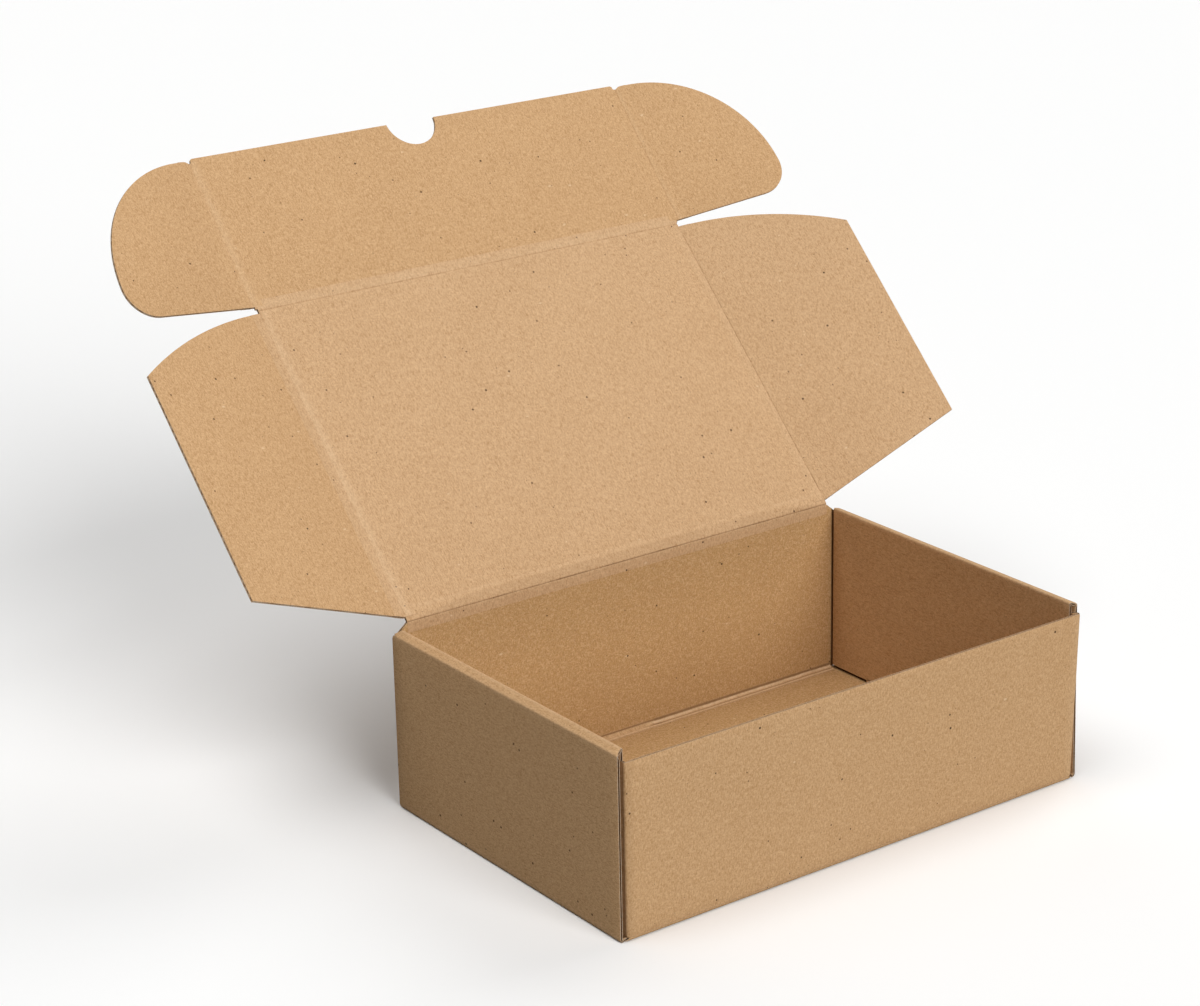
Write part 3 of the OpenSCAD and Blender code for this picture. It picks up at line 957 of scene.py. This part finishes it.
class MAILER_OT_side_walls(bpy.types.Operator):
    """Side walls rolled over the corner tabs and locked into the base"""
    bl_idname = "mailer.side_walls"
    bl_label = "Side walls"

    def execute(self, context):
        p = plan(context.scene)
        for side, sign in SIDE_SIGN.items():
            draft = Draft()
            self.rolled_wall(draft, p, sign)
            for y in (-p.tray.lock_pitch / 2, p.tray.lock_pitch / 2):
                self.lock_tab(draft, p, sign, y)
            settle(draft.make(f"{side}_side_wall", board_materials("side_wall")), "tray")
        return {"FINISHED"}

    def rolled_wall(self, draft, p, sign):
        """Outer layer, rolled top and inner layer as one folded sheet."""
        tray = p.tray
        slope = math.degrees(math.atan(tray.roll_rise / p.stack))
        turns = (90 - slope, 90 + slope)
        bites = [tray.roll_fold * math.tan(math.radians(a / 2)) for a in turns]
        roll = p.stack / math.cos(math.radians(slope)) - sum(bites)
        drop = tray.side_height + tray.roll_rise - bites[1] - p.t - tray.floor_gap - FOOT_RAISE
        crushed = tray.roll_fold * ROLL_CRUSH
        path = FoldPath(p.board, (p.half_w - p.fold_out, 0), (1, 0))
        path.turn(90, p.fold_out, p.crushed)
        path.run(tray.side_height - p.fold_out - bites[0])
        path.turn(turns[0], tray.roll_fold, crushed, light_and_rub=ROLL_RUB_AND_HIGHLIGHT[0])
        strip_start = len(path.stations)
        path.run(roll)
        strip_end = len(path.stations)
        path.turn(turns[1], tray.roll_fold, crushed, light_and_rub=ROLL_RUB_AND_HIGHLIGHT[1])
        path.run(drop, folded_after=False)
        outer = (-p.half_d + tray.outer_setback, p.half_d - tray.outer_setback)
        inner = (-p.half_d + tray.inner_front_gap, p.half_d - tray.inner_rear_gap)
        lean = RIGHT_LEAN if sign > 0 else 0.0
        spans = []
        for i, (place, _, _, _) in enumerate(path.stations):
            share = clamped((i - strip_start + 1) / (strip_end - strip_start + 1))
            low, high = (between(a, b, share) for a, b in zip(outer, inner))
            if i < strip_start:
                near_top = max(0.0, 1 - (tray.side_height - place.y) / REAR_CORNER_HEIGHT)
                high -= REAR_CORNER_CUT * near_top ** 2
                low += lean * place.y / tray.side_height
            else:
                low += lean * (1 - share)
            spans.append((low, high))
        sweep_board(draft, p.board, path.stations, spans, lambda u, v, w: (sign * u, w, v),
                    SEEDS["side_wall"] + sign)

    def lock_tab(self, draft, p, sign, y):
        """Tab under the inner layer that drops into its slot in the base."""
        tray = p.tray
        drop = tray.floor_gap + p.t - tray.lock_gap
        half = tray.lock_width / 2
        outline = [(LOCK_ROOT, -half), (0, -half), (-drop, -half + drop / 2),
                   (-drop, half - drop / 2), (0, half), (LOCK_ROOT, half)]
        draft.place = Matrix(((0, 0, 1, sign * (p.room + p.half_t)), (0, 1, 0, y),
                              (1, 0, 0, p.t + tray.floor_gap), (0, 0, 0, 1)))
        add_board(draft, p.board, outline)
        draft.place = Matrix.Identity(4)


# NECK_SHADE and CORNER_SHADE paint shade onto the front wall's left corner fold, in the slot beside the side
# wall.
NECK_START, NECK_CRUSH, NECK_SHADE = 2.2 * MM, 0.8, -0.6
CORNER_CRUSH, CORNER_SHADE = 0.62, -0.2
SHOULDER_START, SHOULDER_END = 0.6 * MM, 1.0 * MM
HINGE_STEP, NOOK_STEP, FLARE_FADE = 0.05 * MM, 0.1 * MM, 2.0 * MM
TAB_START, FACE_SHARE = 1.0 * MM, 0.99


class MAILER_OT_end_walls(bpy.types.Operator):
    """Front and rear walls with the corner tabs that the side walls hold"""
    bl_idname = "mailer.end_walls"
    bl_label = "Front and rear walls"

    def execute(self, context):
        p = plan(context.scene)
        tray = p.tray
        front = Draft()
        self.wall(front, p, -1, lambda x: tray.front_height, tray.front_height)
        settle(front.make("front_wall", board_materials()), "tray")
        rear = Draft()
        corner = tray.hinge_height - tray.shoulder_drop - tray.shoulder_fall

        def crest(x):
            """Height of the rear wall, with shoulders that slope from the hinge's ends to the corners."""
            if abs(x) <= p.flap_x:
                return tray.hinge_height - p.lid.crease_half
            share = min(1.0, (abs(x) - p.flap_x) / (p.wall_half - p.flap_x))
            return tray.hinge_height - SHOULDER_START + (corner + SHOULDER_END - tray.hinge_height) * share

        self.wall(rear, p, 1, crest, corner)
        # The rear wall takes the deeper liner with the painted shade.
        settle(rear.make("rear_wall", board_materials("inside")), "tray")
        return {"FINISHED"}

    def wall(self, draft, p, sign, crest, tab_top):
        """One wall and its two tabs as one folded sheet; sign is -1 in front and 1 at the rear."""
        tray = p.tray
        path = FoldPath(p.board, (-p.tab_face, -p.half_d + p.fold_out + tray.tab_length), (0, -1))
        if sign < 0:
            path.run(tray.tab_length + p.fold_out - tray.inner_front_gap, folded_before=False)
            # Painted shade on the corner fold, in the slot beside the side wall.
            for back in (NECK_START, CORNER_RADIUS):
                path.place = Vector((-p.tab_face + CORNER_INSET, -p.half_d + back))
                path.station(p.t * NECK_CRUSH, NECK_SHADE)
            path.turn(90, CORNER_RADIUS, p.t * CORNER_CRUSH, light_and_rub=CORNER_SHADE)
        else:
            path.run(tray.tab_length, folded_before=False)
            path.turn(90, p.fold_out, p.crushed)
        stops = [p.flap_x, p.flap_x + HINGE_STEP]
        if sign > 0:
            stops += [p.room - NOOK_STEP, p.room + NOOK_STEP]
        for stop in [-x for x in reversed(stops)] + stops:
            path.place = Vector((stop, -p.half_d))
            path.station(p.t, 0.0)
        path.place = Vector((p.wall_half, -p.half_d))
        path.turn(90, p.fold_out, p.crushed)
        path.run(tray.tab_length, folded_after=False)
        spans = []
        for place, _, _, _ in path.stations:
            back = place.y + p.half_d - p.fold_out
            taper = tray.tab_taper * clamped(back / tray.tab_length)
            foot = tray.tab_foot if place.y > -p.half_d + TAB_START else 0.0
            top = tab_top if back > -p.fold_out * FACE_SHARE else crest(place.x)
            spans.append((p.fold_out + foot + taper, top - taper))

        def nook_shade(place):
            """Painted shade: the rear wall's inner face is painted dark where the side walls' inner layers
            hide it.
            """
            return -1.0 if sign > 0 and abs(place.x) > p.room else 0.0

        def flared(u, v, w):
            """The front wall's right corner leans out towards its top."""
            if sign > 0 or u <= p.flap_x - NOOK_STEP:
                return u
            beside = clamped(1 - (v + p.half_d - p.fold_out) / FLARE_FADE)
            return u + beside * between(*CORNER_FLARE, w / tray.front_height)

        sweep_board(draft, p.board, path.stations, spans, lambda u, v, w: (flared(u, v, w), sign * -v, w),
                    SEEDS["end_wall"] + sign, edges=(False, True), nook_shade=nook_shade)


def flap_front(p):
    """Centre and radius of the curve of a side flap's front edge."""
    lid = p.lid
    drop = lid.flap_nose - lid.flap_slit
    lean = lid.flap_lean
    hollow = drop * math.cos(lean) - lid.flap_reach * math.sin(lean)
    radius = (lid.flap_reach ** 2 + drop ** 2) / (2 * hollow)
    front = -p.lid_l + lid.flap_slit
    return (-radius * math.sin(lean), front + radius * math.cos(lean)), radius


def flap_outline(p):
    """A side flap with its crease on the Y axis, reaching along +X."""
    lid = p.lid
    centre, radius = flap_front(p)
    drop = lid.flap_nose - lid.flap_slit
    first = lid.flap_lean + math.asin(lid.crease_half / radius)
    last = lid.flap_lean + 2 * math.asin(math.hypot(lid.flap_reach, drop) / (2 * radius))
    edge = arc(centre, radius, math.degrees(first) - 90, math.degrees(last) - 90, steps=28)
    return edge + [(lid.flap_reach, -lid.flap_tail), (lid.crease_half, -lid.flap_root)]


def flap_ends(p, q):
    """Start and end of a side flap along its crease, q millimetres out from it."""
    lid = p.lid
    if q <= 0:
        return lid.flap_root, p.lid_l - lid.flap_slit
    centre, radius = flap_front(p)
    slant = (lid.flap_tail - lid.flap_root) / (lid.flap_reach - lid.crease_half)
    low = lid.flap_root + slant * max(0.0, q * MM - lid.crease_half)
    return low, math.sqrt(radius ** 2 - (q * MM - centre[0]) ** 2) - centre[1]


EAR_CUT, EAR_CUT_HALF = 1.3 * MM, 2.2
EAR_CORNER = (1.2 * MM, 0.7 * MM)


def ear_ends(p, q):
    """Start and end of an ear along its crease, with the small cut that parts it from the tuck's corner."""
    cut = EAR_CUT * max(0.0, 1 - abs(q) / EAR_CUT_HALF)
    return p.lid.ear_slit, p.lid.tuck_length - p.lid.ear_step - cut


def ear_outline(p):
    """An ear with its crease on the Y axis, reaching along +X."""
    lid = p.lid
    top = -lid.tuck_length + lid.ear_step
    middle = (lid.ear_shift, top + lid.ear_radius)
    tip_y = -lid.ear_slit - lid.ear_tip
    tip_x = lid.ear_shift + math.sqrt((lid.ear_radius - lid.ear_tip) ** 2 - (middle[1] - tip_y) ** 2)
    meet = math.degrees(math.atan2(tip_y - middle[1], tip_x - lid.ear_shift))
    return ([(lid.crease_half, -lid.ear_slit)] + arc((tip_x, tip_y), lid.ear_tip, 90, meet, steps=14)
            + arc(middle, lid.ear_radius, meet, -90, steps=40)[1:]
            + [(lid.crease_half + EAR_CORNER[0], top), (lid.crease_half, top + EAR_CORNER[1])])


def tuck_outline(p):
    """The tuck flap between its ear creases, with the thumb notch in its free edge."""
    lid = p.lid
    half = p.ear_x - lid.crease_half
    free = -lid.tuck_length
    bite = math.degrees(math.acos(lid.notch_out / lid.notch_radius))
    notch = arc((0, free - lid.notch_out), lid.notch_radius, 90 + bite, 90 - bite, steps=30)
    corner = arc((half - EAR_CUT, free + EAR_CUT), EAR_CUT, -90, 0, steps=6)
    root = [(half, -lid.crease_half), (-half, -lid.crease_half)]
    return mirrored(corner)[::-1] + notch + corner + root


def mirrored(outline):
    """The same outline for the left side."""
    return [(-x, y) for x, y in outline]


def ways(place, direction):
    """A panel's direction away from its crease and its inward normal, in the scene's frame."""
    turn = place.to_3x3()
    return (turn @ Vector(direction)).normalized(), (turn @ Vector((0, 0, -1))).normalized()


def settle_band(band):
    """Bakes a crease band's place into its points; the band is not put on any body."""
    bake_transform(band)


LONG_LIFT, SIDE_LIFT = 0.02 * MM, 0.035 * MM


def add_panel(p, name, body, place, outline, liner="plain"):
    """A flat panel in its place, on its body."""
    draft = Draft(place)
    add_board(draft, p.board, outline)
    settle(draft.make(name, board_materials(liner)), body)


def add_long_crease(p, name, place, parent_way, child_way, look, seed):
    """A crease over the width of the lid, at the place of the panel that hangs on it."""
    origin = place.to_translation()
    # The long creases take the liner with the painted sheen.
    band = crease_band(name, p.board, origin, Vector((1, 0, 0)), lambda q: (-p.flap_x, p.flap_x),
                       parent_way, child_way, look, LONG_LIFT, seed, "lid")
    settle_band(band)


def hang_pair(p, kind, body, parent_place, places, outline, ends, looks, crease_liner):
    """A flap or an ear on each side of its parent, with the creases that they hang on.

    looks gives each side's crease and the liner of its panel.
    """
    along = parent_place.to_3x3() @ Vector((0, -1, 0))
    for side, sign in SIDE_SIGN.items():
        look, liner = looks[side]
        place, child = places[side], f"{side}_{body}"
        add_panel(p, f"{side}_{kind}_panel", child, place, outline if sign > 0 else mirrored(outline), liner)
        origin = place.to_translation()
        parent_way = ways(parent_place, (-sign, 0, 0))
        child_way = ways(place, (sign, 0, 0))
        band = crease_band(f"{side}_{kind}_crease", p.board, origin, along, lambda q: ends(p, q),
                           parent_way, child_way, look, SIDE_LIFT, SEEDS[kind] + sign, crease_liner)
        settle_band(band)


HINGE_SOFT = 5.2
# Looks of the creases: dark is the pressed line with painted shade, shade is painted shade along the hinge's
# bend, pale is rubbed paper with a painted highlight.
HINGE_LOOK = CreaseLook(line=0.4, line_at=-0.4, sink=0.42, parent_reach=0.6, child_reach=HINGE_SOFT,
                        pale=0.15, pale_at=5.4, pale_width=0.9, dark=0.75, shade=0.17, shade_width=4.9)
TUCK_LOOK = CreaseLook(line=0.16, sink=0.08, pale=0.17, pale_at=1.8, pale_width=2.6, dark=0.28)
FLAP_LOOKS = {
    "left": (CreaseLook(line=0.06, sink=0.1, pale=0.28, pale_at=-1.5, pale_width=2.2), "plain"),
    # The right side flap takes the liner with the painted sheen.
    "right": (CreaseLook(line=0.18, sink=0.08, pale=0.12, pale_at=-1.2, dark=0.3), "lid")}
EAR_LOOKS = {
    "left": (CreaseLook(line=0.08, sink=0.12, pale=0.26, pale_at=-1.5, pale_width=2.2), "plain"),
    "right": (CreaseLook(line=0.12, sink=0.08, pale=0.16, pale_at=1.0, pale_width=1.2, dark=0.2), "plain")}


class MAILER_OT_lid(bpy.types.Operator):
    """Lid panel and its crease along the rear wall"""
    bl_idname = "mailer.lid"
    bl_label = "Lid"

    def execute(self, context):
        p = plan(context.scene)
        half = p.flap_x - p.lid.crease_half
        front, soft = -p.lid_l + p.lid.crease_half, HINGE_SOFT * MM
        outline = [(-half, front), (half, front), (half, -soft), (-half, -soft)]
        # The lid panel takes the liner with the painted sheen.
        add_panel(p, "lid_panel", "lid", p.lid_place, outline, "lid")
        wall = (Vector((0, 0, -1)), Vector((0, -1, 0)))
        lid = ways(p.lid_place, (0, -1, 0))
        add_long_crease(p, "lid_crease", p.lid_place, wall, lid, HINGE_LOOK, SEEDS["lid"])
        return {"FINISHED"}


class MAILER_OT_side_flaps(bpy.types.Operator):
    """Dust flaps on both sides of the lid"""
    bl_idname = "mailer.side_flaps"
    bl_label = "Side flaps"

    def execute(self, context):
        p = plan(context.scene)
        # Both side flaps' creases take the liner with the painted sheen.
        hang_pair(p, "flap", "side_flap", p.lid_place, p.flap_place, flap_outline(p), flap_ends,
                  FLAP_LOOKS, "lid")
        return {"FINISHED"}


class MAILER_OT_tuck_flap(bpy.types.Operator):
    """Tuck flap with its thumb notch"""
    bl_idname = "mailer.tuck_flap"
    bl_label = "Tuck flap"

    def execute(self, context):
        p = plan(context.scene)
        add_panel(p, "tuck_panel", "tuck_flap", p.tuck_place, tuck_outline(p))
        lid = ways(p.lid_place, (0, 1, 0))
        tuck = ways(p.tuck_place, (0, -1, 0))
        add_long_crease(p, "tuck_crease", p.tuck_place, lid, tuck, TUCK_LOOK,
                        SEEDS["tuck"])
        return {"FINISHED"}


class MAILER_OT_ears(bpy.types.Operator):
    """Rounded ears at both ends of the tuck flap"""
    bl_idname = "mailer.ears"
    bl_label = "Ears"

    def execute(self, context):
        p = plan(context.scene)
        hang_pair(p, "ear", "ear", p.tuck_place, p.ear_place, ear_outline(p), ear_ends,
                  EAR_LOOKS, "plain")
        return {"FINISHED"}


LIGHT_WAYS = {"front": (0.0, -0.866, 0.5), "left": (-0.35, 0.0, 0.937), "right": (0.7, 0.2, 0.7),
              "back": (0.25, 0.82, 0.52)}
SKY_COLOUR = (1.0, 0.985, 0.96, 1.0)
FLOOR_HALF, FLOOR_ROUGHNESS = 9.0, (0.88, 0.96)
SENSOR_WIDTH, SIGHT = 36, 50


class MAILER_OT_stage(bpy.types.Operator):
    """Pale floor, soft light and the camera"""
    bl_idname = "mailer.stage"
    bl_label = "Stage"

    def execute(self, context):
        scene = context.scene
        stage = scene.mailer_stage
        self.floor(scene, stage)
        for name, towards in LIGHT_WAYS.items():
            self.sun(scene, f"{name}_light", getattr(stage, f"{name}_strength"), stage.softness, towards)
        world = bpy.data.worlds.new("studio")
        world.use_nodes = True
        sky = world.node_tree.nodes["Background"]
        sky.inputs["Color"].default_value = SKY_COLOUR
        seen = node(world.node_tree, "ShaderNodeLightPath").outputs["Is Camera Ray"]
        glow = grade(world.node_tree, seen, 0.0, 1.0, to_low=stage.sky_strength)
        feed(world.node_tree, [(glow, sky.inputs["Strength"])])
        scene.world = world
        scene.view_settings.view_transform = "Standard"
        camera = bpy.data.cameras.new("camera")
        camera.lens = stage.lens
        camera.sensor_fit = "HORIZONTAL"
        camera.sensor_width = SENSOR_WIDTH
        camera.clip_end = SIGHT
        eye = bpy.data.objects.new("camera", camera)
        eye.location = stage.camera_place
        eye.rotation_euler = stage.camera_turn
        scene.collection.objects.link(eye)
        scene.camera = eye
        return {"FINISHED"}

    def floor(self, scene, stage):
        """A wide floor, paler to the camera than the light that it gives back."""
        material, tree, shader = new_material("studio_floor")
        where = node(tree, "ShaderNodeTexCoord").outputs["Object"]
        faint = grade(tree, cloud(tree, where, scale=3.0, detail=2.0), 0.2, 0.8, *FLOOR_ROUGHNESS)
        seen = node(tree, "ShaderNodeLightPath").outputs["Is Camera Ray"]
        pale = tint(tree, seen, (*stage.bounce_colour, 1.0), (*stage.floor_colour, 1.0))
        feed(tree, [(pale, shader.inputs["Base Color"]), (faint, shader.inputs["Roughness"])])
        corners = [(x * FLOOR_HALF, y * FLOOR_HALF, 0) for x, y in ((-1, -1), (1, -1), (1, 1), (-1, 1))]
        mesh = bpy.data.meshes.new("floor")
        mesh.from_pydata(corners, [], [(0, 1, 2, 3)])
        mesh.materials.append(material)
        floor = bpy.data.objects.new("floor", mesh)
        scene.collection.objects.link(floor)

    def sun(self, scene, name, strength, softness, towards):
        """A soft distant light that shines from a direction."""
        light = bpy.data.lights.new(name, "SUN")
        light.energy = strength
        light.angle = softness
        lamp = bpy.data.objects.new(name, light)
        lamp.rotation_euler = Vector(towards).to_track_quat("Z", "Y").to_euler()
        scene.collection.objects.link(lamp)


PIECES = (MAILER_OT_base, MAILER_OT_side_walls, MAILER_OT_end_walls, MAILER_OT_lid, MAILER_OT_side_flaps,
          MAILER_OT_tuck_flap, MAILER_OT_ears, MAILER_OT_stage)


class MAILER_PT_panel(bpy.types.Panel):
    """Settings and steps of the mailer box"""
    bl_idname = "MAILER_PT_panel"
    bl_label = "Mailer box"
    bl_space_type = "VIEW_3D"
    bl_region_type = "UI"
    bl_category = "Mailer"

    def draw(self, context):
        for group in SETTINGS:
            box = self.layout.box()
            settings = getattr(context.scene, group)
            for key in settings.bl_rna.properties.keys():
                if key not in ("rna_type", "name"):
                    box.prop(settings, key)
        for piece in PIECES:
            self.layout.operator(piece.bl_idname)


SETTINGS = {"mailer_board": MailerBoard, "mailer_tray": MailerTray, "mailer_lid": MailerLid,
            "mailer_stage": MailerStage}
CLASSES = (*SETTINGS.values(), *PIECES, MAILER_PT_panel)


def register():
    """Makes the settings, steps and panel known to Blender."""
    for cls in CLASSES:
        bpy.utils.register_class(cls)
    for name, group in SETTINGS.items():
        setattr(bpy.types.Scene, name, bpy.props.PointerProperty(type=group))


def unregister():
    """Takes them out again."""
    for name in SETTINGS:
        delattr(bpy.types.Scene, name)
    for cls in reversed(CLASSES):
        bpy.utils.unregister_class(cls)


def main():
    """Builds the box and its stage."""
    register()
    bpy.ops.mailer.base()
    bpy.ops.mailer.side_walls()
    bpy.ops.mailer.end_walls()
    bpy.ops.mailer.lid()
    bpy.ops.mailer.side_flaps()
    bpy.ops.mailer.tuck_flap()
    bpy.ops.mailer.ears()
    bpy.ops.mailer.stage()


if __name__ == "__main__":
    main()
